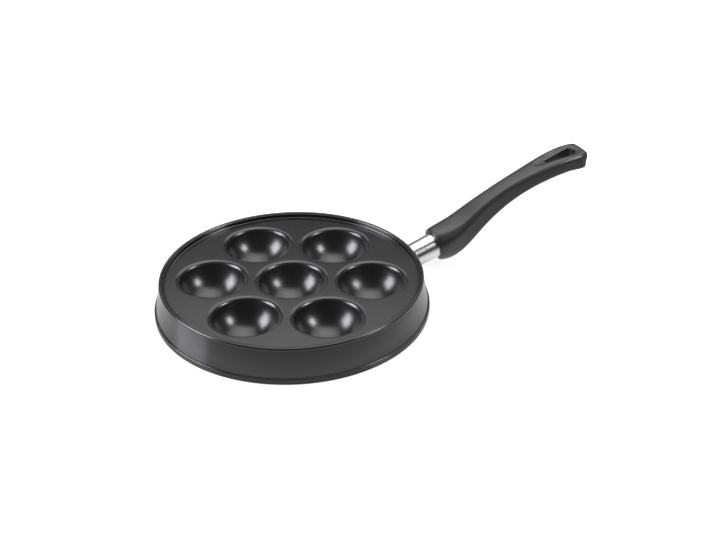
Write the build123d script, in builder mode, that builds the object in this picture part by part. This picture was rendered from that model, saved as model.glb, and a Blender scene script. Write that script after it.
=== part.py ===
from build123d import *
from math import atan2, cos, degrees, radians, sin, sqrt
import os

os.makedirs("parts", exist_ok=True)

# Aebleskiver pan with seven half-round cups, in millimetres.
# The origin is the middle of the base, on the table. +X runs along the handle and +Z is up.

# Cups: half-round, one in the middle and a ring of them round it
cup_radius = 27.8
cup_mouth_round = 4.3
cup_ring_count = 6
cup_web = 4.05

# Cup plate: one pressing, its edge turned up inside the rim
plate_height = 26.6
plate_sheet = 1.0
plate_lip_height = 3.4
plate_bend = 1.2
plate_edge_round = 0.35

# Skirt: conical wall with a rolled bead on top and a foot turned in
rim_margin = 12.65
rim_above_plate = 4.0
rim_bead_radius = 1.6
rim_bead_proud = 0.4
skirt_flare = 5.1
skirt_sheet = 0.9
skirt_foot_width = 5.5
skirt_bend = 1.6

# Base plate: flat bottom, its edge turned up round the foot of the skirt
base_sheet = 1.2
base_corner = 1.3
seam_height = 5.6
seam_wall = 1.0
seam_round = 0.9

# Handle axis, which leaves the skirt halfway between two cups
handle_height = 14.6
handle_rise_angle = 13.2

# Polished sleeve between the skirt and the grip
sleeve_front_diameter = 21.0
sleeve_rear_diameter = 22.8
sleeve_sheet = 0.8
sleeve_show = 28.0
sleeve_seat_depth = 3.0

# Stud, staked through the skirt onto a backing plate, squared and tapped at its far end
stud_diameter = 12.0
stud_foot_diameter = 17.0
stud_foot_thickness = 2.5
stud_spigot_diameter = 8.0
stud_stake_diameter = 11.0
stud_stake_thickness = 1.6
stud_square = 8.0
stud_square_length = 12.0
stud_tapped_depth = 16.0
backing_width = 42.0
backing_height = 15.0
backing_corner = 4.0
backing_sheet = 1.5

# Screw and its washers
screw_diameter = 5.0
screw_length = 20.0
screw_head_diameter = 8.5
screw_head_height = 3.3
screw_head_round = 0.6
screw_slot_width = 1.2
screw_slot_depth = 1.7
washer_bore = 5.3
washer_diameter = 9.0
washer_thickness = 1.0
spring_washer_diameter = 9.2
spring_washer_thickness = 1.2
spring_washer_split = 1.5

# Grip: a moulding that is round at the sleeve, flat on top, slim at the waist and broad at its end
grip_reach = 148.5
grip_rise = 58.0
grip_width = 28.4
grip_depth = 31.0
grip_front_round = 1.2
grip_end_round = 2.4
grip_web = 8.0
channel_diameter = 9.9

# Sections of the grip: place along it, middle height, width, depth, tilt, shoulder, keel and crown.
# The first four are shares of the grip's reach, rise, width and depth, the tilt is a share of the
# handle's rise angle, and the last three are shares of the section's own half width.
grip_section_shares = [
    (0.00, 0.000, 1.000, 0.916, 1.00, 0.95, 0.95, 0.03),
    (0.05, 0.018, 1.020, 0.994, 0.63, 0.86, 0.92, 0.06),
    (0.11, 0.048, 0.944, 1.006, 0.18, 0.68, 0.86, 0.10),
    (0.18, 0.133, 0.860, 0.968, 0.00, 0.55, 0.82, 0.12),
    (0.26, 0.267, 0.761, 0.881, 0.00, 0.50, 0.80, 0.12),
    (0.36, 0.419, 0.665, 0.755, 0.00, 0.47, 0.78, 0.12),
    (0.47, 0.559, 0.634, 0.648, 0.00, 0.45, 0.72, 0.12),
    (0.60, 0.686, 0.704, 0.561, 0.00, 0.42, 0.62, 0.11),
    (0.73, 0.783, 0.838, 0.529, 0.00, 0.38, 0.52, 0.09),
    (0.86, 0.847, 0.958, 0.516, 0.00, 0.34, 0.44, 0.07),
    (0.94, 0.867, 0.990, 0.496, -0.45, 0.32, 0.34, 0.06),
    (1.00, 0.875, 0.940, 0.490, -1.00, 0.30, 0.28, 0.06),
]

# Hanging slot: a teardrop through the broad end, inside a shallow teardrop recess
slot_tilt = 8.3
slot_end_margin = 7.5
slot_length = 31.0
slot_inner_radius = 2.2
slot_outer_radius = 5.8
recess_lead = 10.0
recess_inner_radius = 3.6
recess_margin = 3.6
recess_depth = 2.0
recess_edge_round = 0.8
slot_edge_round = 0.6

# Clearances, and the overrun of every cut
seat_gap = 0.1
fit_gap = 0.1
socket_gap = 0.15
stud_end_gap = 0.5
overrun = 2.0

# Cup mouths: the rounding runs from the half-round inside into the flat of the plate
bowl_sheet_bottom = base_sheet + seat_gap + plate_sheet
cup_centre_height = bowl_sheet_bottom + cup_radius
mouth_centre_height = plate_height - cup_mouth_round
mouth_centre_drop = cup_centre_height - mouth_centre_height
mouth_radius = sqrt((cup_radius + cup_mouth_round) ** 2 - mouth_centre_drop**2)
mouth_angle = degrees(atan2(mouth_centre_drop, mouth_radius))

# The cups set the size of the rim, and the rim sets the size of the base
cup_spacing = 2 * mouth_radius + cup_web
rim_radius = cup_spacing + mouth_radius + rim_margin
rim_height = plate_height + rim_above_plate
base_radius = rim_radius + skirt_flare

# Places on the skirt
skirt_foot_height = base_sheet + seat_gap
skirt_foot_radius = base_radius - seam_wall - fit_gap
skirt_top_radius = rim_radius - rim_bead_proud
bead_radius_at = rim_radius - rim_bead_radius
bead_height_at = rim_height - rim_bead_radius
skirt_lean = (skirt_foot_radius - skirt_top_radius) / (bead_height_at - skirt_foot_height)
lip_radius = bead_radius_at - rim_bead_radius - fit_gap


def skirt_radius(height):
    """Outer radius of the conical wall at a height above the table."""
    return skirt_foot_radius - skirt_lean * (height - skirt_foot_height)


# The handle's own frame: its origin is where the axis meets the skirt, its Z runs out along the axis
rise = radians(handle_rise_angle)
handle_root = Vector(skirt_radius(handle_height), 0, handle_height)
handle_plane = Plane(origin=handle_root, x_dir=(0, 1, 0), z_dir=(cos(rise), 0, sin(rise)))

# Distances along the handle axis
sleeve_end = sleeve_show + sleeve_seat_depth
stud_end = sleeve_end + stud_square_length
socket_end = stud_end + stud_end_gap
screw_seat = socket_end + grip_web
spring_washer_seat = screw_seat + washer_thickness
screw_head_seat = spring_washer_seat + spring_washer_thickness
grip_front = handle_root + Vector(cos(rise), 0, sin(rise)) * sleeve_show

# Cup bowl, as a turned profile: half-round inside, with a rounded mouth that runs into the plate
mouth_centre = (mouth_radius, mouth_centre_height)
cup_centre = (0, cup_centre_height)

with BuildPart() as bowl:
    with BuildSketch(Plane.XZ):
        with BuildLine():
            CenterArc(cup_centre, cup_radius, -90, 90 - mouth_angle)
            CenterArc(mouth_centre, cup_mouth_round, 180 - mouth_angle, mouth_angle - 90)
            Line((mouth_radius, plate_height), (mouth_radius, plate_height - plate_sheet))
            CenterArc(mouth_centre, cup_mouth_round - plate_sheet, 90, 90 - mouth_angle)
            CenterArc(cup_centre, cup_radius + plate_sheet, -mouth_angle, mouth_angle - 90)
            Line((0, bowl_sheet_bottom - plate_sheet), (0, bowl_sheet_bottom))
        make_face()
    revolve(axis=Axis.Z)

# Cup plate: a disc with its edge turned up, and a bowl in each of its seven holes
lip_top = plate_height + plate_lip_height
lip_inner_radius = lip_radius - plate_sheet
plate_underside = plate_height - plate_sheet

with BuildPart() as cup_plate:
    with BuildSketch(Plane.XZ):
        with BuildLine():
            FilletPolyline(
                (0, plate_underside),
                (lip_radius, plate_underside),
                (lip_radius, lip_top),
                (lip_inner_radius, lip_top),
                (lip_inner_radius, plate_height),
                (0, plate_height),
                radius=[plate_bend + plate_sheet, plate_edge_round, plate_edge_round, plate_bend],
            )
            Line((0, plate_height), (0, plate_underside))
        make_face()
    revolve(axis=Axis.Z)
    with BuildSketch(Plane.XY.offset(plate_underside)):
        Circle(mouth_radius)
        with PolarLocations(cup_spacing, cup_ring_count, start_angle=180 / cup_ring_count):
            Circle(mouth_radius)
    extrude(amount=plate_sheet, mode=Mode.SUBTRACT)
    add(bowl.part)
    with PolarLocations(cup_spacing, cup_ring_count, start_angle=180 / cup_ring_count):
        add(bowl.part)
cup_plate.part.label = "cup_plate"

# Skirt: the wall and its foot are one bent strip, and the bead is rolled from its top edge
skirt_inner_foot = skirt_foot_radius - skirt_foot_width

with BuildPart() as skirt:
    with BuildSketch(Plane.XZ):
        with BuildLine():
            FilletPolyline(
                (skirt_inner_foot, skirt_foot_height),
                (skirt_foot_radius, skirt_foot_height),
                (skirt_top_radius, bead_height_at),
                (skirt_top_radius - skirt_sheet, bead_height_at),
                (skirt_foot_radius - skirt_sheet, skirt_foot_height + skirt_sheet),
                (skirt_inner_foot, skirt_foot_height + skirt_sheet),
                radius=[0, skirt_bend, 0, 0, skirt_bend - skirt_sheet, 0],
                close=True,
            )
        make_face()
        with Locations((bead_radius_at, bead_height_at)):
            Circle(rim_bead_radius)
    revolve(axis=Axis.Z)
    with BuildSketch(handle_plane):
        Circle(stud_spigot_diameter / 2 + fit_gap)
    extrude(amount=stud_foot_thickness, both=True, mode=Mode.SUBTRACT)
skirt.part.label = "skirt"

# Base plate: the flat bottom and the upstand that is rolled in against the skirt
with BuildPart() as base_plate:
    with BuildSketch(Plane.XZ):
        with BuildLine():
            FilletPolyline(
                (0, 0),
                (base_radius, 0),
                (base_radius, seam_height),
                (skirt_radius(seam_height) + fit_gap, seam_height),
                (skirt_radius(base_sheet) + fit_gap, base_sheet),
                (0, base_sheet),
                radius=[base_corner, seam_round, 0, 0],
            )
            Line((0, base_sheet), (0, 0))
        make_face()
    revolve(axis=Axis.Z)
base_plate.part.label = "base_plate"

# The pan's outer shape, used only to cut the foot of the stud and the end of the sleeve to the wall
bead_underside = bead_height_at - rim_bead_radius

with BuildPart() as pan_outside:
    with BuildSketch(Plane.XZ):
        with BuildLine():
            Polyline(
                (0, -overrun),
                (base_radius + fit_gap, -overrun),
                (base_radius + fit_gap, seam_height + fit_gap),
                (skirt_radius(seam_height) + fit_gap, seam_height + fit_gap),
                (skirt_radius(bead_underside) + fit_gap, bead_underside),
                (rim_radius + fit_gap, bead_underside),
                (rim_radius + fit_gap, rim_height + overrun),
                (0, rim_height + overrun),
                close=True,
            )
        make_face()
    revolve(axis=Axis.Z)

# Backing plate: a rounded oblong cut from a band that lies against the inside of the skirt
backing_offset = skirt_sheet + fit_gap

with BuildPart() as stud_backing_plate:
    with BuildSketch(handle_plane.offset(-handle_root.X / 2)):
        RectangleRounded(backing_width, backing_height, backing_corner)
        Circle(stud_spigot_diameter / 2 + fit_gap, mode=Mode.SUBTRACT)
    extrude(amount=handle_root.X)
    with BuildSketch(Plane.XZ):
        with BuildLine():
            Polyline(
                (skirt_radius(skirt_foot_height) - backing_offset, skirt_foot_height),
                (skirt_radius(plate_underside) - backing_offset, plate_underside),
                (skirt_radius(plate_underside) - backing_offset - backing_sheet, plate_underside),
                (skirt_radius(skirt_foot_height) - backing_offset - backing_sheet, skirt_foot_height),
                close=True,
            )
        make_face()
    revolve(axis=Axis.Z, mode=Mode.INTERSECT)
stud_backing_plate.part.label = "stud_backing_plate"

# Stud: its foot and its staked head are cut to the curve of the wall and of the backing plate
stake_offset = backing_offset + backing_sheet + seat_gap

with BuildPart() as stud_foot:
    with BuildSketch(handle_plane.offset(-stud_foot_thickness)):
        Circle(stud_foot_diameter / 2)
    extrude(amount=2 * stud_foot_thickness)
    add(pan_outside.part, mode=Mode.SUBTRACT)

with BuildPart() as stud_stake:
    with BuildSketch(handle_plane.offset(-stake_offset - stud_stake_thickness)):
        Circle(stud_stake_diameter / 2)
    extrude(amount=2 * stud_stake_thickness)
    with BuildSketch(Plane.XZ):
        with BuildLine():
            Polyline(
                (0, skirt_foot_height),
                (skirt_radius(skirt_foot_height) - stake_offset, skirt_foot_height),
                (skirt_radius(plate_underside) - stake_offset, plate_underside),
                (0, plate_underside),
                close=True,
            )
        make_face()
    revolve(axis=Axis.Z, mode=Mode.INTERSECT)

with BuildPart() as handle_stud:
    with BuildSketch(handle_plane.offset(-stake_offset - stud_stake_thickness / 2)):
        Circle(stud_spigot_diameter / 2)
    extrude(amount=stake_offset + stud_foot_thickness)
    add(stud_foot.part)
    add(stud_stake.part)
    with BuildSketch(handle_plane.offset(stud_foot_thickness / 2)):
        Circle(stud_diameter / 2)
    extrude(amount=sleeve_end - stud_foot_thickness / 2)
    with BuildSketch(handle_plane.offset(sleeve_end)):
        Rectangle(stud_square, stud_square)
    extrude(amount=stud_square_length)
    with BuildSketch(handle_plane.offset(stud_end)):
        Circle(screw_diameter / 2 + fit_gap)
    extrude(amount=-stud_tapped_depth, mode=Mode.SUBTRACT)
handle_stud.part.label = "handle_stud"

# Sleeve: a thin cone round the handle axis, its front end cut to the wall and the seam
sleeve_taper = (sleeve_rear_diameter - sleeve_front_diameter) / 2 / sleeve_end


def sleeve_radius(distance):
    """Outer radius of the sleeve at a distance along the handle axis."""
    return sleeve_front_diameter / 2 + sleeve_taper * distance


sleeve_small = sleeve_radius(-overrun)
sleeve_large = sleeve_radius(sleeve_end)
sleeve_length = sleeve_end + overrun
along_axis = (Align.CENTER, Align.CENTER, Align.MIN)

with BuildPart() as handle_sleeve:
    with Locations(handle_plane.offset(-overrun)):
        Cone(sleeve_small, sleeve_large, sleeve_length, align=along_axis)
        Cone(
            sleeve_small - sleeve_sheet,
            sleeve_large - sleeve_sheet,
            sleeve_length,
            align=along_axis,
            mode=Mode.SUBTRACT,
        )
    add(pan_outside.part, mode=Mode.SUBTRACT)
handle_sleeve.part.label = "handle_sleeve"

# Grip, lofted through its sections
def grip_section(along, height, width, depth, tilt, shoulder, keel, crown):
    """One cross-section of the grip: a crowned top, soft shoulders, upright sides and a round keel."""
    half_width = grip_width * width / 2
    half_depth = grip_depth * depth / 2
    angle = rise * tilt
    middle = grip_front + Vector(grip_reach * along, 0, grip_rise * height)
    crest = half_depth - half_width * crown
    with BuildSketch(Plane(middle, x_dir=(0, 1, 0), z_dir=(cos(angle), 0, sin(angle)))) as section:
        with BuildLine():
            ThreePointArc((-half_width, crest), (0, half_depth), (half_width, crest))
            Line((half_width, crest), (half_width, -crest))
            ThreePointArc((half_width, -crest), (0, -half_depth), (-half_width, -crest))
            Line((-half_width, -crest), (-half_width, crest))
        make_face()
        fillet(vertices().group_by(Axis.Y)[-1], half_width * shoulder)
        fillet(vertices().group_by(Axis.Y)[0], half_width * keel)
    return section.sketch


# The slot's frame lies on the crest of the grip near its end, with X along the grip
slot_along, slot_height, _, slot_depth = grip_section_shares[-3][:4]
slot_angle = radians(slot_tilt)
slot_crest = grip_rise * slot_height + grip_depth * slot_depth / 2
slot_origin = grip_front + Vector(grip_reach * slot_along, 0, slot_crest)
slot_x = Vector(cos(slot_angle), 0, sin(slot_angle))
slot_z = Vector(-sin(slot_angle), 0, cos(slot_angle))
slot_plane = Plane(slot_origin, x_dir=slot_x, z_dir=slot_z)
end_place = grip_reach * (1 - slot_along) / cos(slot_angle)
slot_outer_place = end_place - slot_end_margin - slot_outer_radius
slot_inner_place = end_place - slot_end_margin - slot_length + slot_inner_radius
recess_inner_place = slot_inner_place - slot_inner_radius - recess_lead + recess_inner_radius

grip_sections = [grip_section(*shares) for shares in grip_section_shares]

with BuildPart() as handle_grip:
    loft(sections=grip_sections)
    fillet(faces().sort_by(Axis.X)[0].edges(), grip_front_round)
    fillet(faces().sort_by(Axis.X)[-1].edges(), grip_end_round)
    # recess, then the slot right through
    with BuildSketch(slot_plane.offset(-recess_depth)):
        with Locations((slot_outer_place, 0)):
            Circle(slot_outer_radius + recess_margin)
        with Locations((recess_inner_place, 0)):
            Circle(recess_inner_radius)
        make_hull()
    extrude(amount=grip_depth, mode=Mode.SUBTRACT)
    fillet(edges(Select.LAST).filter_by(GeomType.BSPLINE), recess_edge_round)
    with BuildSketch(slot_plane):
        with Locations((slot_outer_place, 0)):
            Circle(slot_outer_radius)
        with Locations((slot_inner_place, 0)):
            Circle(slot_inner_radius)
        make_hull()
    extrude(amount=grip_depth, both=True, mode=Mode.SUBTRACT)
    slot_rims = edges(Select.LAST).filter_by(Axis(slot_origin, slot_z), reverse=True)
    fillet(slot_rims, slot_edge_round)
    # seat of the sleeve, socket of the stud, hole of the screw and the channel that it is driven through
    with BuildSketch(handle_plane.offset(sleeve_show - overrun)):
        Circle(sleeve_rear_diameter / 2 + fit_gap)
    extrude(amount=sleeve_seat_depth + overrun, mode=Mode.SUBTRACT)
    with BuildSketch(handle_plane.offset(sleeve_end)):
        Rectangle(stud_square + 2 * socket_gap, stud_square + 2 * socket_gap)
    extrude(amount=socket_end - sleeve_end, mode=Mode.SUBTRACT)
    with BuildSketch(handle_plane.offset(socket_end)):
        Circle(washer_bore / 2)
    extrude(amount=grip_web, mode=Mode.SUBTRACT)
    with BuildSketch(handle_plane.offset(screw_seat)):
        Circle(channel_diameter / 2)
    extrude(amount=grip_reach / 2, mode=Mode.SUBTRACT)
handle_grip.part.label = "handle_grip"

# Plain washer on the seat in the grip
with BuildPart() as plain_washer:
    with BuildSketch(handle_plane.offset(screw_seat)):
        Circle(washer_diameter / 2)
        Circle(washer_bore / 2, mode=Mode.SUBTRACT)
    extrude(amount=washer_thickness)
plain_washer.part.label = "plain_washer"

# Spring washer, pressed flat, with its ends apart
with BuildPart() as spring_washer:
    with BuildSketch(handle_plane.offset(spring_washer_seat)):
        Circle(spring_washer_diameter / 2)
        Circle(washer_bore / 2, mode=Mode.SUBTRACT)
        with Locations((0, spring_washer_diameter / 2)):
            Rectangle(spring_washer_split, spring_washer_diameter, mode=Mode.SUBTRACT)
    extrude(amount=spring_washer_thickness)
spring_washer.part.label = "spring_washer"

# Cheese-head screw, driven up the channel into the stud
with BuildPart() as handle_screw:
    with BuildSketch(handle_plane.offset(screw_head_seat)):
        Circle(screw_head_diameter / 2)
    extrude(amount=screw_head_height)
    head_face = faces().filter_by(Axis(handle_root, handle_plane.z_dir)).sort_by(Axis.X)[-1]
    fillet(head_face.edges(), screw_head_round)
    with BuildSketch(handle_plane.offset(screw_head_seat + screw_head_height)):
        Rectangle(screw_slot_width, screw_head_diameter + overrun)
    extrude(amount=-screw_slot_depth, mode=Mode.SUBTRACT)
    with BuildSketch(handle_plane.offset(screw_head_seat)):
        Circle(screw_diameter / 2)
    extrude(amount=-screw_length)
handle_screw.part.label = "handle_screw"

export_step(cup_plate.part, "parts/cup_plate.step")
export_step(skirt.part, "parts/skirt.step")
export_step(base_plate.part, "parts/base_plate.step")
export_step(stud_backing_plate.part, "parts/stud_backing_plate.step")
export_step(handle_stud.part, "parts/handle_stud.step")
export_step(handle_sleeve.part, "parts/handle_sleeve.step")
export_step(handle_grip.part, "parts/handle_grip.step")
export_step(plain_washer.part, "parts/plain_washer.step")
export_step(spring_washer.part, "parts/spring_washer.step")
export_step(handle_screw.part, "parts/handle_screw.step")
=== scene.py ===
# %% [markdown]
# # Aebleskiver pan
# Seven half-round cups are pressed into one coated plate, over a low coated skirt with a flat base. A
# polished steel sleeve carries a black phenolic grip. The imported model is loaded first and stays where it
# is. New pieces are then modelled in its place wherever smooth, rounded surfaces show.

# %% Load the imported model
from math import atan2, cos, degrees, pi, radians, sin, sqrt

import bmesh
import bpy
from mathutils import Matrix, Vector


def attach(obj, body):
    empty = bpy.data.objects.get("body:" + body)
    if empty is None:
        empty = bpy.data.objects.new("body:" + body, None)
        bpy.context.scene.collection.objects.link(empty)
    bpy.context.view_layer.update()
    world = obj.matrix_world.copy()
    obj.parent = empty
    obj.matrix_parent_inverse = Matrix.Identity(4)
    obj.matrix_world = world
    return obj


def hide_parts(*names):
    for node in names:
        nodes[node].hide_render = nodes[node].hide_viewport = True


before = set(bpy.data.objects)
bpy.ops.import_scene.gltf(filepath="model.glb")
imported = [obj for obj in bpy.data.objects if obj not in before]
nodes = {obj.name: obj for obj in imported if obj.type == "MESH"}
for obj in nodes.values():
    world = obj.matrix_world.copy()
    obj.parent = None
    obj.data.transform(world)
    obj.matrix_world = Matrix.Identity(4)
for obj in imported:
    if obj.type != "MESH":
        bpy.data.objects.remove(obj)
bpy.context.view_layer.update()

print("nodes:", sorted(nodes))

# %% [markdown]
# Sizes are written in millimetres, as on a drawing, and turned to Blender's metres where a point is made.
# The tools act on whatever is selected, and the loaded model arrives selected, so each step starts with
# nothing selected, or with one piece alone.

# %% Millimetres and selection
MM = 0.001
WELD = 0.01 * MM  # points closer than this are one point


def deselect_all():
    """Leave edit mode and select nothing."""
    if bpy.context.object and bpy.context.object.mode != "OBJECT":
        bpy.ops.object.mode_set(mode="OBJECT")
    bpy.ops.object.select_all(action="DESELECT")


def choose(piece):
    """Select one piece alone and make it the active one."""
    deselect_all()
    piece.select_set(True)
    bpy.context.view_layer.objects.active = piece


# %% [markdown]
# Everything pressed or rolled from round sheet is a profile turned about an axis. The profile is drawn as a
# draughtsman does, point after point with extrude, and then spun all the way round. An arc in it is only
# more points, close enough together that the bend looks round.

# %% Draw a profile and spin it
def arc(centre, radius, start, end, steps):
    """Points on an arc, angles in degrees, with both ends."""
    angles = [radians(start + (end - start) * i / steps) for i in range(steps + 1)]
    return [(centre[0] + radius * cos(a), centre[1] + radius * sin(a)) for a in angles]


def spin_profile(
    name, profile, steps, closed, origin=Vector(), axis=Vector((0, 0, 1)), out=Vector((1, 0, 0))
):
    """Draw a profile of (distance from the axis, place along it) points and spin it round the axis."""
    points = [origin + (out * r + axis * h) * MM for r, h in profile]
    deselect_all()
    bpy.ops.mesh.primitive_plane_add(size=MM, location=(0, 0, 0))
    piece = bpy.context.object
    piece.name = name
    bpy.ops.object.mode_set(mode="EDIT")
    bpy.ops.mesh.select_mode(type="VERT")
    bpy.ops.mesh.merge(type="CENTER")
    bpy.ops.transform.translate(value=points[0])
    for before, after in zip(points, points[1:]):
        bpy.ops.mesh.extrude_region_move(TRANSFORM_OT_translate={"value": after - before})
    if closed:
        mesh = bmesh.from_edit_mesh(piece.data)
        mesh.verts.ensure_lookup_table()
        mesh.verts[0].select_set(True)
        bmesh.update_edit_mesh(piece.data)
        bpy.ops.mesh.edge_face_add()
    bpy.ops.mesh.select_all(action="SELECT")
    bpy.ops.mesh.spin(steps=steps, angle=2 * pi, center=origin, axis=axis)
    bpy.ops.mesh.select_all(action="SELECT")
    bpy.ops.mesh.remove_doubles(threshold=WELD)
    bpy.ops.mesh.normals_make_consistent(inside=False)
    bpy.ops.object.mode_set(mode="OBJECT")
    return piece


# %% [markdown]
# ## Cup plate
# On the real pan this is one steel blank, drawn into seven bowls with a soft rounding where each bowl meets
# the flat. Pushing dents into a flat sheet would leave them uneven, so one bowl is spun and copied to its
# seven places, the flat is filled in between the mouths and the rim, and the whole skin gets its sheet
# thickness last.
#
# The sizes come first. Where the ball of a cup meets the rounding of its mouth, both arcs have one tangent,
# and that fixes the mouth's radius. The ring of six then follows from the web of flat left between two
# mouths.

# %% Sizes of the cups and the plate
cup_radius, mouth_round, cup_web = 27.8, 4.3, 4.05
plate_top, plate_sheet, base_sheet, gap = 26.6, 1.0, 1.2, 0.1
cup_centre = base_sheet + gap + plate_sheet + cup_radius
mouth_height = plate_top - mouth_round
mouth_radius = sqrt((cup_radius + mouth_round) ** 2 - (cup_centre - mouth_height) ** 2)
mouth_angle = degrees(atan2(cup_centre - mouth_height, mouth_radius))
cup_spacing = 2 * mouth_radius + cup_web
cup_places = [(0.0, 0.0)]
cup_places += [(cup_spacing * cos(radians(a)), cup_spacing * sin(radians(a))) for a in range(30, 390, 60)]
print("cup mouth radius", round(mouth_radius, 2), "mm, cup spacing", round(cup_spacing, 2), "mm")

# %% [markdown]
# A bowl's profile is those two arcs, from the bottom of the ball up and over to the flat. Each copy has its
# own mesh, so that the bowls can be joined to the flat afterwards.

# %% Spin one bowl and set a copy at each place
cup_steps = 64
bowl_profile = arc((0, cup_centre), cup_radius, -90, -mouth_angle, steps=20)
bowl_profile += arc((mouth_radius, mouth_height), mouth_round, 180 - mouth_angle, 90, steps=9)[1:]
first_bowl = spin_profile("bowl", bowl_profile, cup_steps, closed=False)
bowls = [first_bowl]
for x, y in cup_places[1:]:
    choose(first_bowl)
    bpy.ops.object.duplicate()
    bpy.ops.transform.translate(value=(x * MM, y * MM, 0))
    bowls.append(bpy.context.object)
print("bowls", len(bowls))

# %% [markdown]
# Edges and points are picked in code by their place or by what meets them, since there is no hand to click
# them. A count of open edges, where only one face ends, tells whether a skin is closed.

# %% Pick parts of a piece and count its open edges
def edit(piece, kind="VERT"):
    """Open one piece in edit mode with none of its points, edges or faces selected."""
    choose(piece)
    bpy.ops.object.mode_set(mode="EDIT")
    bpy.ops.mesh.select_mode(type=kind)
    bpy.ops.mesh.select_all(action="DESELECT")


def pick(piece, kind, wanted):
    """Select the points or edges for which wanted(element) is true, and return how many there are."""
    mesh = bmesh.from_edit_mesh(piece.data)
    elements = mesh.verts if kind == "VERT" else mesh.edges
    found = 0
    for element in elements:
        if wanted(element):
            element.select_set(True)
            found += 1
    bmesh.update_edit_mesh(piece.data)
    return found


def open_edges(piece):
    """Count the edges at which fewer than two faces meet."""
    mesh = bmesh.new()
    mesh.from_mesh(piece.data)
    count = sum(1 for edge in mesh.edges if len(edge.link_faces) < 2)
    mesh.free()
    return count


# %% [markdown]
# The flat is one sheet with seven round holes. A circle is laid at the plate's height, out to where the
# sheet starts to turn up, and joined with the bowls. Fill then closes everything between its edge and the
# seven mouths in one go, and only the circle's own edge stays open. The rim's sizes are needed here too,
# because the turned-up lip stands just inside the rolled bead.

# %% Fill the flat between the mouths and the rim
rim_margin, bead, rim_steps = 12.65, 1.6, 192
rim_radius = cup_spacing + mouth_radius + rim_margin
lip_bend, lip_height, lip_edge = 1.2, 3.4, 0.35
lip_outer = rim_radius - 2 * bead - gap
lip_inner = lip_outer - plate_sheet
lip_top = plate_top + lip_height
flat_radius = lip_inner - lip_bend

deselect_all()
bpy.ops.mesh.primitive_circle_add(
    vertices=rim_steps, radius=flat_radius * MM, location=(0, 0, plate_top * MM)
)
cup_plate = bpy.context.object
cup_plate.name = "cup_plate_pressing"
for bowl in bowls:
    bowl.select_set(True)
bpy.ops.object.join()
bpy.ops.object.transform_apply(location=True, rotation=True, scale=True)
edit(cup_plate, "EDGE")
loose = pick(cup_plate, "EDGE", lambda e: len(e.link_faces) < 2)
bpy.ops.mesh.fill(use_beauty=True)
bpy.ops.mesh.select_all(action="SELECT")
bpy.ops.mesh.normals_make_consistent(inside=False)
bpy.ops.object.mode_set(mode="OBJECT")
print("edges round the holes and the rim", loose, "left open", open_edges(cup_plate))

# %% [markdown]
# The plate's edge is turned up inside the rim. The open edge of the flat is extruded again and again, each
# time a little further round the bend, and then straight up to the lip's top. The skin has no thickness
# yet, so its upper side has to face up before the sheet is added on the other side, and its largest face
# shows which way it faces.

# %% Turn the edge up
bend = arc((flat_radius, plate_top + lip_bend), lip_bend, -90, 0, steps=6) + [(lip_inner, lip_top)]
edit(cup_plate, "EDGE")
pick(cup_plate, "EDGE", lambda e: e.is_boundary)
for (r0, z0), (r1, z1) in zip(bend, bend[1:]):
    bpy.ops.mesh.extrude_edges_move(TRANSFORM_OT_translate={"value": (0, 0, (z1 - z0) * MM)})
    bpy.ops.transform.resize(value=(r1 / r0, r1 / r0, 1), center_override=(0, 0, 0))
bpy.ops.mesh.select_all(action="SELECT")
bpy.ops.mesh.normals_make_consistent(inside=False)
bpy.ops.object.mode_set(mode="OBJECT")
largest = max(cup_plate.data.polygons, key=lambda f: f.area)
if largest.normal.z < 0:
    cup_plate.data.flip_normals()
print("lip turned up", round(lip_top - plate_top, 2), "mm in", len(bend) - 1, "steps")

# %% [markdown]
# Each modifier is applied at once, so that the next step works on its result. A finished surface is shaded
# smooth except across its sharp edges, and weighted normals keep the large flats from looking bulged.

# %% Modifiers and shading
def apply_modifier(piece, kind, **settings):
    """Give one piece a modifier with its settings and apply it at once."""
    choose(piece)
    modifier = piece.modifiers.new(kind.lower(), kind)
    for name, value in settings.items():
        setattr(modifier, name, value)
    bpy.ops.object.modifier_apply(modifier=modifier.name)


def finish_surface(piece, sharp_angle=35):
    """Smooth the piece, keep its sharp edges, and let its large flats keep flat shading."""
    choose(piece)
    bpy.ops.object.shade_smooth_by_angle(angle=radians(sharp_angle))
    apply_modifier(piece, "WEIGHTED_NORMAL", keep_sharp=True)
    print(piece.name, "faces", len(piece.data.polygons), "open edges", open_edges(piece))


# %% [markdown]
# Solidify gives the skin one thickness all over, close to what the press leaves. The sheet's cut edge would
# look as sharp as a knife, so the two edges at the lip's top are bevelled.

# %% Give the skin its sheet thickness and break the lip's edges
apply_modifier(cup_plate, "SOLIDIFY", thickness=plate_sheet * MM, offset=-1, use_even_offset=True)
edit(cup_plate, "EDGE")
lip_edges = pick(
    cup_plate,
    "EDGE",
    lambda e: all(abs(v.co.z - lip_top * MM) < WELD for v in e.verts)
    and abs(e.verts[0].co.xy.length - e.verts[1].co.xy.length) < WELD,
)
bpy.ops.mesh.bevel(offset=lip_edge * MM, segments=3, affect="EDGES")
bpy.ops.object.mode_set(mode="OBJECT")
print("lip edges broken", lip_edges)
finish_surface(cup_plate)

# %% [markdown]
# ## Skirt
# A cone of thin sheet leans out towards its foot. Its top edge is rolled over into a round bead, which is
# what the hand feels as the rim, and its foot is turned in and rests on the base. Solidify would thicken
# the tight roll unevenly, so one closed profile with both sides of the sheet is spun instead. The wall's
# lean follows from the two radii, and each bend is set so that its arc touches the leaning wall.

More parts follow.
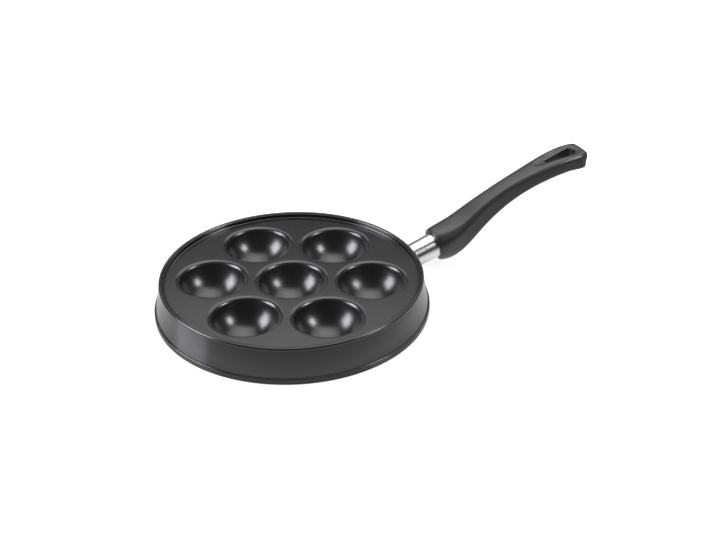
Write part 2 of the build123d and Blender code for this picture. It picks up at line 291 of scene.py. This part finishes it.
# %% Spin the skirt
bead_proud, rim_above_plate, skirt_sheet, flare = 0.4, 4.0, 0.9, 5.1
seam_wall, seam_top = 1.0, 5.6
foot_width, foot_bend = 5.5, 1.6
roll_start, roll_end = -33, 289
rim_top = plate_top + rim_above_plate
base_radius = rim_radius + flare
foot_z = base_sheet + gap
foot_r = base_radius - seam_wall - gap
bead_r, bead_z = rim_radius - bead, rim_top - bead
lean = (foot_r - rim_radius + bead_proud) / (bead_z - foot_z)
lean_angle = degrees(atan2(lean, 1))
bend_reach = foot_bend * (1 - sin(radians(lean_angle))) / cos(radians(lean_angle))
bend_centre = (foot_r - bend_reach, foot_z + foot_bend)

skirt_profile = [(foot_r - foot_width, foot_z)]
skirt_profile += arc(bend_centre, foot_bend, -90, lean_angle, steps=7)
skirt_profile += arc((bead_r, bead_z), bead, roll_start, roll_end, steps=26)
skirt_profile += arc(bend_centre, foot_bend - skirt_sheet, lean_angle, -90, steps=5)
skirt_profile += [(foot_r - foot_width, foot_z + skirt_sheet)]
skirt = spin_profile("skirt_with_rolled_rim", skirt_profile, rim_steps, closed=True)
finish_surface(skirt, 40)

# %% [markdown]
# ## Base plate
# The flat bottom is pressed with an upstand that is rolled in tight against the skirt. That seam is the
# narrow band round the foot of the pan, a little proud of the wall, with a dark line above it. The profile
# is again spun. A ring of points halfway out keeps the fan of faces round the middle from growing too long
# and thin, and the edge stays a hair inside the loaded model's, whose circle has flatter sides.

# %% Spin the base
def wall_radius(height):
    """Outside radius of the conical wall at a height."""
    return foot_r - lean * (height - foot_z)


base_corner, seam_round, hair = 1.3, 0.9, 0.02
edge, halfway = base_radius - hair, base_radius * 0.5
base_profile = [(0, 0), (halfway, 0), (edge - base_corner, 0)]
base_profile += arc((edge - base_corner, base_corner), base_corner, -90, 0, steps=6)[1:]
base_profile += arc((edge - seam_round, seam_top - seam_round), seam_round, 0, 90, steps=6)
base_profile += [(wall_radius(seam_top) + gap, seam_top), (wall_radius(base_sheet) + gap, base_sheet)]
base_profile += [(halfway, base_sheet), (0, base_sheet)]
base = spin_profile("base_pressing", base_profile, rim_steps, closed=False)
finish_surface(base, 40)

# %% [markdown]
# ## Sleeve
# The steel sleeve is a slightly conical tube, its front end cut to lie along the wall and over the seam. It
# is spun about the handle's own axis, which leaves the wall at a height and rises away from it, and it is
# spun longer than needed.

# %% Spin the tube about the handle's axis
handle_height, rise = 14.6, radians(13.2)
handle_root = Vector((wall_radius(handle_height), 0, handle_height)) * MM
handle_axis = Vector((cos(rise), 0, sin(rise)))
handle_up = Vector((-sin(rise), 0, cos(rise)))

front_r, rear_r, sleeve_wall, sleeve_end = 10.5, 11.4, 0.8, 31.0
extra, edge_break, tube_steps = 8.0, 0.15, 128
taper = (rear_r - front_r) / sleeve_end
tube_profile = [(front_r - extra * taper, -extra), (front_r, 0)]
tube_profile += [(rear_r - edge_break * taper, sleeve_end - edge_break), (rear_r - edge_break, sleeve_end)]
tube_profile += [(rear_r - sleeve_wall, sleeve_end), (front_r - sleeve_wall - extra * taper, -extra)]
sleeve = spin_profile(
    "polished_sleeve_tube", tube_profile, tube_steps, closed=True,
    origin=handle_root, axis=handle_axis, out=handle_up,
)
print("sleeve thickens by", round(rear_r - front_r, 2), "mm in radius over", sleeve_end, "mm")

# %% [markdown]
# A tube mill would mitre the end and a stamp would shape it to the pan. Here the pan's outside, spun as one
# solid a clearance larger, is taken away from the tube. It is spun in small steps, so that the cut edge
# follows the wall.

# %% Cut the sleeve's front end to the pan
cutter_foot, cutter_steps = -5, 384
outside = [(0, cutter_foot), (base_radius + gap, cutter_foot), (base_radius + gap, seam_top + gap)]
outside += [(wall_radius(seam_top) + gap, seam_top + gap), (wall_radius(rim_top) + gap, rim_top)]
outside += [(0, rim_top)]
pan_outside = spin_profile("pan_outside", outside, cutter_steps, closed=False)
apply_modifier(sleeve, "BOOLEAN", operation="DIFFERENCE", object=pan_outside, solver="EXACT")
bpy.data.objects.remove(pan_outside)
finish_surface(sleeve, 30)

# %% [markdown]
# ## Grip
# The phenolic grip is one compression moulding: round where it takes the sleeve, flat on top, slim at the
# waist and broad at the end, with a hanging slot in a shallow recess. Its form is already in the loaded
# model, as loose triangles of uneven size, on which highlights look scalloped. So a copy is welded together
# and laid over with even faces, fine enough for the slot's edges.

# %% Lay even faces over a copy of the grip
grip_weld, even_face = 0.002, 0.5
grip = bpy.data.objects.new("grip_moulding", nodes["handle_grip"].data.copy())
bpy.context.scene.collection.objects.link(grip)
edit(grip)
bpy.ops.mesh.select_all(action="SELECT")
bpy.ops.mesh.remove_doubles(threshold=grip_weld * MM)
bpy.ops.object.mode_set(mode="OBJECT")
apply_modifier(grip, "REMESH", mode="VOXEL", voxel_size=even_face * MM)
print("even faces on the grip", len(grip.data.polygons))

# %% [markdown]
# The grip is then corrected as with a rasp: a few points are picked and moved or widened, and
# their neighbours follow less and less out to a given reach. Blender calls that proportional editing.
#
# First the front is drawn out along the sleeve, which shows about 26 mm of steel on the real pan. Only
# points near the front move, so the top keeps its even curve.

# %% Draw the front out along the sleeve
def soft_reach(reach):
    """Settings with which the neighbours follow, out to a reach in millimetres."""
    return {
        "use_proportional_edit": True, "proportional_edit_falloff": "SMOOTH", "proportional_size": reach * MM,
    }


def along(point):
    """How far a point lies along the handle's axis from the wall."""
    return (point - handle_root).dot(handle_axis)


draw_out, front_slice, front_reach = 2.2, 0.5, 24
front = min(along(v.co) for v in grip.data.vertices)
edit(grip)
pick(grip, "VERT", lambda v: along(v.co) < front + front_slice * MM)
bpy.ops.transform.translate(value=handle_axis * -draw_out * MM, **soft_reach(front_reach))
bpy.ops.object.mode_set(mode="OBJECT")
front_now = min(along(v.co) for v in grip.data.vertices)
print("grip front moved from", round(front / MM, 2), "to", round(front_now / MM, 2), "mm from the wall")

# %% [markdown]
# Near the front the flat top is broad, and its edges roll over lower than in the loaded form. They are
# pushed out sideways a little where the grip is thickest, on both sides alike. A long reach keeps the
# change from showing as a lump.

# %% Broaden the top near the front
shoulder_from, shoulder_to, shoulder_above, shoulder_side = 49, 55, 6, 8
wider, shoulder_reach = 1.07, 24
edit(grip)
shoulders = pick(
    grip,
    "VERT",
    lambda v: shoulder_from * MM < along(v.co) < shoulder_to * MM
    and (v.co - handle_root).dot(handle_up) > shoulder_above * MM
    and abs(v.co.y) > shoulder_side * MM,
)
bpy.ops.transform.resize(value=(1, wider, 1), center_override=(0, 0, 0), **soft_reach(shoulder_reach))
bpy.ops.object.mode_set(mode="OBJECT")
print("points on the two shoulders", shoulders)

# %% [markdown]
# The end is rounded in plan, and a little deeper than the part before it, so that the hand doesn't slip
# off. A light smoothing comes last. It takes out what the small steps of the even faces leave, and wears
# the edges the way a polished mould does.

# %% Round the end of the grip
end_slice, narrower, end_reach = 1.2, 0.89, 8
toe_length, toe_height, toe_drop, toe_reach = 5, 2, 1.2, 16
end_x = max(v.co.x for v in grip.data.vertices)
edit(grip)
pick(grip, "VERT", lambda v: v.co.x > end_x - end_slice * MM)
bpy.ops.transform.resize(value=(1, narrower, 1), center_override=(0, 0, 0), **soft_reach(end_reach))
bpy.ops.mesh.select_all(action="DESELECT")
toe_heights = [v.co.z for v in bmesh.from_edit_mesh(grip.data).verts if v.co.x > end_x - toe_length * MM]
lowest = min(toe_heights)
pick(grip, "VERT", lambda v: v.co.x > end_x - toe_length * MM and v.co.z < lowest + toe_height * MM)
bpy.ops.transform.translate(value=(0, 0, -toe_drop * MM), **soft_reach(toe_reach))
bpy.ops.object.mode_set(mode="OBJECT")
apply_modifier(grip, "SMOOTH", factor=0.5, iterations=22)
finish_surface(grip, 50)

# %% [markdown]
# ## Finishes
# Colours are written as hex values, the way a paint chart gives them, and one function turns them to the
# linear numbers that a shader needs. A second small function adds a node with its inputs and settings. The
# Mix node has sockets of the same name for numbers and for colours, so its colour sockets are reached by
# their place.

# %% Colour and node helpers
COLOUR_A, COLOUR_B, COLOUR_RESULT = 6, 7, 2


def linear(hex_colour):
    """Linear RGBA from an sRGB hex value such as #1C1C1E."""
    parts = [int(hex_colour[i : i + 2], 16) / 255 for i in (1, 3, 5)]
    return tuple(c / 12.92 if c <= 0.04045 else ((c + 0.055) / 1.055) ** 2.4 for c in parts) + (1.0,)


def add_node(tree, kind, inputs=None, **settings):
    """Add one node, set its properties, and set or link its inputs."""
    node = tree.nodes.new(kind)
    for name, value in settings.items():
        setattr(node, name, value)
    for name, value in (inputs or {}).items():
        if isinstance(value, bpy.types.NodeSocket):
            tree.links.new(value, node.inputs[name])
        else:
            node.inputs[name].default_value = value
    return node


def new_finish(name):
    """An empty material with its node tree and its output node."""
    material = bpy.data.materials.new(name)
    material.use_nodes = True
    material.node_tree.nodes.clear()
    return material, material.node_tree, add_node(material.node_tree, "ShaderNodeOutputMaterial")


# %% [markdown]
# ### Sprayed non-stick coating
# The steel is blasted and sprayed with a dark coating that is baked on. It levels out almost smooth, with a
# faint orange peel about 1.5 mm across and a fine grit of fillers, drawn here at 0.35 mm so that it shows.
# The eye sees a near-black satin that turns grey only where it mirrors a light.
#
# On the flat the spray lands squarely and levels well. In the cups it lands at a slant and stays a little
# rougher, so the roughness changes with height over the roll of the mouths. Clouds about 40 mm across vary
# it slightly. The index is a filled resin's, about 1.6. The wall's coat is a touch darker than the plate's,
# with a lower index.

# %% Coating for the plate, the skirt and the base
slant_depth, level_depth = 2.1, 0.2  # below the plate's flat: fully rough, and fully level


def sprayed_coating(name, dark, light, ior, flat_roughness, slant_roughness):
    """A sprayed and baked coating with grit in its colour and its surface, rougher below the plate's flat."""
    material, tree, output = new_finish(name)
    place = add_node(tree, "ShaderNodeTexCoord").outputs["Object"]
    peel = add_node(tree, "ShaderNodeTexNoise", {"Vector": place, "Scale": 1 / (1.5 * MM), "Detail": 2.0})
    grit = add_node(tree, "ShaderNodeTexNoise", {"Vector": place, "Scale": 1 / (0.35 * MM), "Detail": 3.0})
    cloud = add_node(tree, "ShaderNodeTexNoise", {"Vector": place, "Scale": 1 / (40 * MM), "Detail": 3.0})
    colour = add_node(
        tree, "ShaderNodeMix",
        {"Factor": grit.outputs["Fac"], COLOUR_A: linear(dark), COLOUR_B: linear(light)}, data_type="RGBA",
    )
    height = add_node(tree, "ShaderNodeSeparateXYZ", {"Vector": place}).outputs["Z"]
    slant = add_node(
        tree, "ShaderNodeMapRange",
        {
            "Value": height,
            "From Min": (plate_top - slant_depth) * MM, "From Max": (plate_top - level_depth) * MM,
            "To Min": slant_roughness, "To Max": flat_roughness,
        },
    )
    unevenness = add_node(
        tree, "ShaderNodeMapRange",
        {"Value": cloud.outputs["Fac"], "From Min": 0.3, "From Max": 0.7, "To Min": -0.02, "To Max": 0.02},
    )
    rough = add_node(
        tree, "ShaderNodeMath", {0: slant.outputs["Result"], 1: unevenness.outputs["Result"]}, operation="ADD"
    )
    peel_bump = add_node(
        tree, "ShaderNodeBump", {"Height": peel.outputs["Fac"], "Strength": 0.06, "Distance": 0.05 * MM}
    )
    bump = add_node(
        tree, "ShaderNodeBump",
        {
            "Height": grit.outputs["Fac"], "Strength": 0.12, "Distance": 0.02 * MM,
            "Normal": peel_bump.outputs["Normal"],
        },
    )
    shader = add_node(
        tree, "ShaderNodeBsdfPrincipled",
        {
            "Base Color": colour.outputs[COLOUR_RESULT], "Roughness": rough.outputs["Value"],
            "IOR": ior, "Normal": bump.outputs["Normal"],
        },
    )
    tree.links.new(shader.outputs["BSDF"], output.inputs["Surface"])
    return material


plate_coating = sprayed_coating("sprayed_nonstick_on_plate", "#151516", "#1B1B1C", 1.62, 0.20, 0.28)
skirt_coating = sprayed_coating("sprayed_coating_on_skirt", "#141415", "#1A1A1B", 1.58, 0.19, 0.19)
print("coatings:", plate_coating.name, skirt_coating.name)

# %% [markdown]
# ### Polished stainless sleeve
# The tube is turned against a polishing belt, which leaves fine rings round it. They are far too fine to
# see, but they smear each reflection along the tube, so that lamps off to the side show as long grey
# stripes. The shader's anisotropy does that, with the handle's axis as its tangent. Rings drawn 0.4 mm
# apart, far coarser than the real ones so that they show, vary the polish. A metal keeps the default index.

# %% Stainless steel
steel, tree, output = new_finish("belt_polished_stainless")
place = add_node(tree, "ShaderNodeTexCoord").outputs["Object"]
axis_place = add_node(tree, "ShaderNodeVectorMath", {0: place, 1: handle_axis}, operation="DOT_PRODUCT")
rings = add_node(
    tree, "ShaderNodeTexNoise",
    {"W": axis_place.outputs["Value"], "Scale": 1 / (0.4 * MM), "Detail": 3.0}, noise_dimensions="1D",
)
polish = add_node(
    tree, "ShaderNodeMapRange",
    {"Value": rings.outputs["Fac"], "From Min": 0.3, "From Max": 0.7, "To Min": 0.25, "To Max": 0.31},
)
tangent = add_node(tree, "ShaderNodeCombineXYZ", dict(zip("XYZ", handle_axis)))
shader = add_node(
    tree, "ShaderNodeBsdfPrincipled",
    {
        "Base Color": linear("#CFCFCE"), "Metallic": 1.0, "Roughness": polish.outputs["Result"],
        "Anisotropic": 0.78, "Tangent": tangent.outputs["Vector"],
    },
)
tree.links.new(shader.outputs["BSDF"], output.inputs["Surface"])
print("steel nodes", len(tree.nodes))

# %% [markdown]
# ### Black phenolic
# Phenolic resin with wood flour is pressed in a polished mould and comes out black, hard and satin, with a
# very fine mottle, drawn here at 0.6 mm, coarser than the real one, so that it shows. The eye sees a soft
# grey sheen on the flat top and almost black at the sides. Its index is about 1.6, a little higher than
# most plastics.

# %% Phenolic for the grip
phenolic, tree, output = new_finish("moulded_black_phenolic")
place = add_node(tree, "ShaderNodeTexCoord").outputs["Object"]
mottle = add_node(tree, "ShaderNodeTexNoise", {"Vector": place, "Scale": 1 / (0.6 * MM), "Detail": 4.0})
colour = add_node(
    tree, "ShaderNodeMix",
    {"Factor": mottle.outputs["Fac"], COLOUR_A: linear("#161617"), COLOUR_B: linear("#222223")},
    data_type="RGBA",
)
bump = add_node(
    tree, "ShaderNodeBump", {"Height": mottle.outputs["Fac"], "Strength": 0.2, "Distance": 0.03 * MM}
)
shader = add_node(
    tree, "ShaderNodeBsdfPrincipled",
    {
        "Base Color": colour.outputs[COLOUR_RESULT], "Roughness": 0.36, "IOR": 1.6,
        "Normal": bump.outputs["Normal"],
    },
)
tree.links.new(shader.outputs["BSDF"], output.inputs["Surface"])
print("phenolic nodes", len(tree.nodes))

# %% [markdown]
# ### Fastener steels
# The screw and its washers are zinc plated, a pale and slightly cloudy metal. The stud and its backing
# plate are bare turned steel, darker and duller. They sit inside the handle and the skirt, and only the
# screw can be seen, up its channel.

# %% Zinc and bare steel
def cloudy_metal(name, dark, light, roughness, cloud_size):
    """A plain metal whose colour drifts between two greys in clouds of a size in millimetres."""
    material, tree, output = new_finish(name)
    place = add_node(tree, "ShaderNodeTexCoord").outputs["Object"]
    cloud = add_node(
        tree, "ShaderNodeTexNoise", {"Vector": place, "Scale": 1 / (cloud_size * MM), "Detail": 4.0}
    )
    colour = add_node(
        tree, "ShaderNodeMix",
        {"Factor": cloud.outputs["Fac"], COLOUR_A: linear(dark), COLOUR_B: linear(light)}, data_type="RGBA",
    )
    shader = add_node(
        tree, "ShaderNodeBsdfPrincipled",
        {"Base Color": colour.outputs[COLOUR_RESULT], "Metallic": 1.0, "Roughness": roughness},
    )
    tree.links.new(shader.outputs["BSDF"], output.inputs["Surface"])
    return material


zinc = cloudy_metal("zinc_plated_steel", "#A9AEB3", "#C9CED2", 0.32, 1.5)
bare_steel = cloudy_metal("bare_turned_steel", "#8F8D89", "#A5A39F", 0.38, 0.8)
print("metals:", zinc.name, bare_steel.name)

# %% [markdown]
# ## Dress the model
# Each new piece stands for one loaded node, rides on the pan and takes that node's finish. The fasteners
# keep their loaded shape and only get a better metal.

# %% Replace, ride and assign
dressed = [
    (cup_plate, "cup_plate", "plate_coating", plate_coating),
    (skirt, "skirt", "skirt_coating", skirt_coating),
    (base, "base_plate", "base_coating", skirt_coating),
    (sleeve, "handle_sleeve", "polished_sleeve", steel),
    (grip, "handle_grip", "phenolic", phenolic),
]
for piece, node, slot, finish in dressed:
    piece.data.materials.clear()
    piece.data.materials.append(finish)
    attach(piece, "root")
    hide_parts(node)
    print(piece.name, "stands for", node, "in", finish.name)

fasteners = {
    "handle_screw": zinc, "plain_washer": zinc, "spring_washer": zinc,
    "handle_stud": bare_steel, "stud_backing_plate": bare_steel,
}
for node, finish in fasteners.items():
    for material_slot in nodes[node].material_slots:
        material_slot.material = finish
    print(node, "in", finish.name)

# %% [markdown]
# ## Studio
# The pan stands on white paper. What the camera sees of it is lifted to plain white by a little glow, less
# so near the pan, so that the pan's own shadow stays. Polished metal and satin coating mirror the paper
# too, and there its glow is painted light and shade: a painted shadow, dim where the pan would shade it,
# white just beyond, and a painted falloff, darker further off where the lamps' light would run out. A ramp
# over the distance from the middle sets how bright this painted glow is in the mirrored paper.

# %% Floor
paper_radius, paper_drop = 14, 0.1  # metres across the table, millimetres under the pan
shade_near, white_from = 0.12, 0.5  # metres from the middle
ramp_from, ramp_to = 0.1, 0.5  # metres from the middle
# painted light and shade: the greys of the paper's glow as seen in reflections, not a real shadow
painted_light_and_shade_greys = {0.04: 0.5, 0.11: 1.0, 0.175: 0.72, 0.3: 0.42, 0.6: 0.3}  # place on the ramp: grey

deselect_all()
bpy.ops.mesh.primitive_circle_add(
    vertices=96, radius=paper_radius, fill_type="NGON", location=(0, 0, -paper_drop * MM)
)
floor = bpy.context.object
floor.name = "white_table"
paper, tree, output = new_finish("white_table_paper")
place = add_node(tree, "ShaderNodeTexCoord").outputs["Object"]
distance = add_node(tree, "ShaderNodeVectorMath", {0: place}, operation="LENGTH").outputs["Value"]
lift = add_node(
    tree, "ShaderNodeMapRange",
    {"Value": distance, "From Min": shade_near, "From Max": white_from, "To Min": 0.8, "To Max": 1.0},
    interpolation_type="SMOOTHSTEP",
)
place_on_ramp = add_node(
    tree, "ShaderNodeMapRange", {"Value": distance, "From Min": ramp_from, "From Max": ramp_to}
)
ramp = add_node(tree, "ShaderNodeValToRGB", {"Fac": place_on_ramp.outputs["Result"]})
stops = ramp.color_ramp.elements
positions = sorted(painted_light_and_shade_greys)
stops[0].position, stops[1].position = positions[0], positions[-1]
for position in positions[1:-1]:
    stops.new(position)
for stop, position in zip(stops, positions):
    grey = painted_light_and_shade_greys[position]
    stop.color = (grey, grey, grey, 1)
print("paper reaches", paper_radius, "m, ramp stops", len(stops))

# %% [markdown]
# Light Path tells which ray meets the paper. A camera ray sees the lifted white, a glossy ray the ramp's
# painted light and shade, and both see the lamps' light on the paper as well. Matt paper carries the shadow.
# For glossy rays it is given a slight gloss, since paper shines at the low angles at which a pan's wall
# mirrors it, and a darker grey than the matt paper, a painted shade of the pan on what it mirrors.

# %% What each kind of ray sees
path = add_node(tree, "ShaderNodeLightPath")
is_glossy = path.outputs["Is Glossy Ray"]
# painted light and shade: glossy rays see the ramp's glow on top of the real lamp light on the paper
mirrored = add_node(tree, "ShaderNodeMath", {0: is_glossy, 1: ramp.outputs["Color"]}, operation="MULTIPLY")
seen = add_node(
    tree, "ShaderNodeMath",
    {0: path.outputs["Is Camera Ray"], 1: path.outputs["Is Transmission Ray"]}, operation="MAXIMUM",
)
strength = add_node(
    tree, "ShaderNodeMath",
    {0: seen.outputs["Value"], 1: lift.outputs["Result"], 2: mirrored.outputs["Value"]},
    operation="MULTIPLY_ADD",
)
glow = add_node(tree, "ShaderNodeEmission", {"Color": (1, 1, 1, 1), "Strength": strength.outputs["Value"]})
matt = add_node(tree, "ShaderNodeBsdfDiffuse", {"Color": linear("#A8A8A8")})
# painted shade: a darker grey than the matt paper, seen only in reflections, as if shaded by the pan
gloss_and_painted_shade = add_node(
    tree, "ShaderNodeBsdfPrincipled", {"Base Color": linear("#707070"), "Roughness": 0.2, "IOR": 1.28}
)
table = add_node(
    tree, "ShaderNodeMixShader", {0: is_glossy, 1: matt.outputs["BSDF"], 2: gloss_and_painted_shade.outputs["BSDF"]}
)
both = add_node(tree, "ShaderNodeAddShader", {0: glow.outputs["Emission"], 1: table.outputs["Shader"]})
tree.links.new(both.outputs["Shader"], output.inputs["Surface"])
floor.data.materials.append(paper)
print("paper nodes", len(tree.nodes))

# %% [markdown]
# ### Soft boxes and cards
# On a black pan the lamps are seen rather than felt: each shows as a mirrored patch. So each stands where
# the curve of a cup, the bead, the skirt or the sleeve says that the photographer's stood.
#
# - The top box, behind and above, greys the plate and the bottoms of the cups, and its core adds to the cups.
# - The back card is a strip that the flat plate and the top of the grip mirror.
# - The low card lights the far bead and the far edge of the grip.
# - The left box, faintly lilac, makes the tall streak in each cup and the bright end of the skirt.
# - The right box makes the small spot in each cup and a stripe on the sleeve.

# %% Place the lamps
def direction(azimuth, elevation):
    """Unit vector: azimuth 0 points to -Y and 90 to +X, elevation is above the table."""
    a, e = radians(azimuth), radians(elevation)
    return Vector((sin(a) * cos(e), -cos(a) * cos(e), sin(e)))


def soft_box(name, azimuth, elevation, distance, width, height, radiance, slide=0.0, colour=(1, 1, 1)):
    """A rectangular lamp that faces the pan, slid along its own width. A radiance of 1 is white."""
    towards = direction(azimuth, elevation)
    across = Vector((0, 0, 1)).cross(towards).normalized()
    deselect_all()
    bpy.ops.object.light_add(type="AREA", location=towards * distance + across * slide)
    lamp = bpy.context.object
    lamp.name = name
    lamp.rotation_euler = towards.to_track_quat("Z", "Y").to_euler()
    lamp.data.shape = "RECTANGLE"
    lamp.data.size = width
    lamp.data.size_y = height
    lamp.data.energy = radiance * pi * width * height
    lamp.data.color = colour
    lamp.visible_camera = False
    print(name, "power", round(lamp.data.energy, 1), "W")


soft_box("top_box", 152, 69.7, 1.7, 2.3, 1.87, 1.8, slide=-0.28)
soft_box("top_box_core", 152, 80, 1.7, 1.1, 1.2, 1.0, slide=-0.24)
soft_box("back_card", 147, 37.7, 1.9, 2.9, 0.246, 1.3)
soft_box("low_card", 152, 7, 1.9, 4.2, 0.5, 0.35)
soft_box("left_box", -113, 28, 1.6, 0.88, 0.88, 12.5, colour=(1, 0.985, 1.06))
soft_box("right_box", 48.5, 37, 1.5, 0.42, 0.46, 17)

# %% [markdown]
# The room itself is dim, a little brighter behind and above the pan, where the walls catch light from the
# top box. That keeps the dark parts of the mirrored picture from going quite black.

# %% Room
room_dim, room_bright = 0.06, 0.14
world = bpy.data.worlds.new("studio_room")
bpy.context.scene.world = world
world.use_nodes = True
tree = world.node_tree
tree.nodes.clear()
view = add_node(tree, "ShaderNodeTexCoord").outputs["Generated"]
behind = add_node(tree, "ShaderNodeVectorMath", {0: view, 1: direction(147, 60)}, operation="DOT_PRODUCT")
level = add_node(
    tree, "ShaderNodeMapRange",
    {
        "Value": behind.outputs["Value"], "From Min": 0.5, "From Max": 0.95,
        "To Min": room_dim, "To Max": room_bright,
    },
)
room = add_node(tree, "ShaderNodeBackground", {"Color": (1, 1, 1, 1), "Strength": level.outputs["Result"]})
add_node(tree, "ShaderNodeOutputWorld", {"Surface": room.outputs["Background"]})
print("room from", room_dim, "to", room_bright)

# %% [markdown]
# ## Camera
# The view was found by fitting the rim, the base and the seven cup mouths: a long lens, 31 degrees above
# the table and 28 degrees to the left of the handle's square side. The camera looks straight along that
# line, and is then moved to its right and up, so that the pan stands off the middle as in the photograph.

# %% Camera
elevation, azimuth, roll, camera_distance = 31.0, -27.70, radians(-0.823), 1272.611
side_shift, up_shift, focal_pixels, picture_width = -54.987, -30.35, 1513.093, 716
back = direction(azimuth, elevation)
level_right = Vector((cos(radians(azimuth)), sin(radians(azimuth)), 0))
level_up = back.cross(level_right)
right = level_right * cos(roll) + level_up * sin(roll)
up = level_up * cos(roll) - level_right * sin(roll)
camera_place = (back * camera_distance - right * side_shift - up * up_shift) * MM
lens = bpy.data.cameras.new("long_lens")
lens.sensor_width = 36
lens.lens = lens.sensor_width * focal_pixels / picture_width
camera = bpy.data.objects.new("camera", lens)
bpy.context.scene.collection.objects.link(camera)
camera.matrix_world = Matrix.Translation(camera_place) @ Matrix((right, up, back)).transposed().to_4x4()
bpy.context.scene.camera = camera
print("lens", round(lens.lens, 2), "mm")

# %% [markdown]
# The Standard view shows colours as they are written. The new pieces must not grow past the old ones.

# %% View settings
bpy.context.scene.view_settings.view_transform = "Standard"
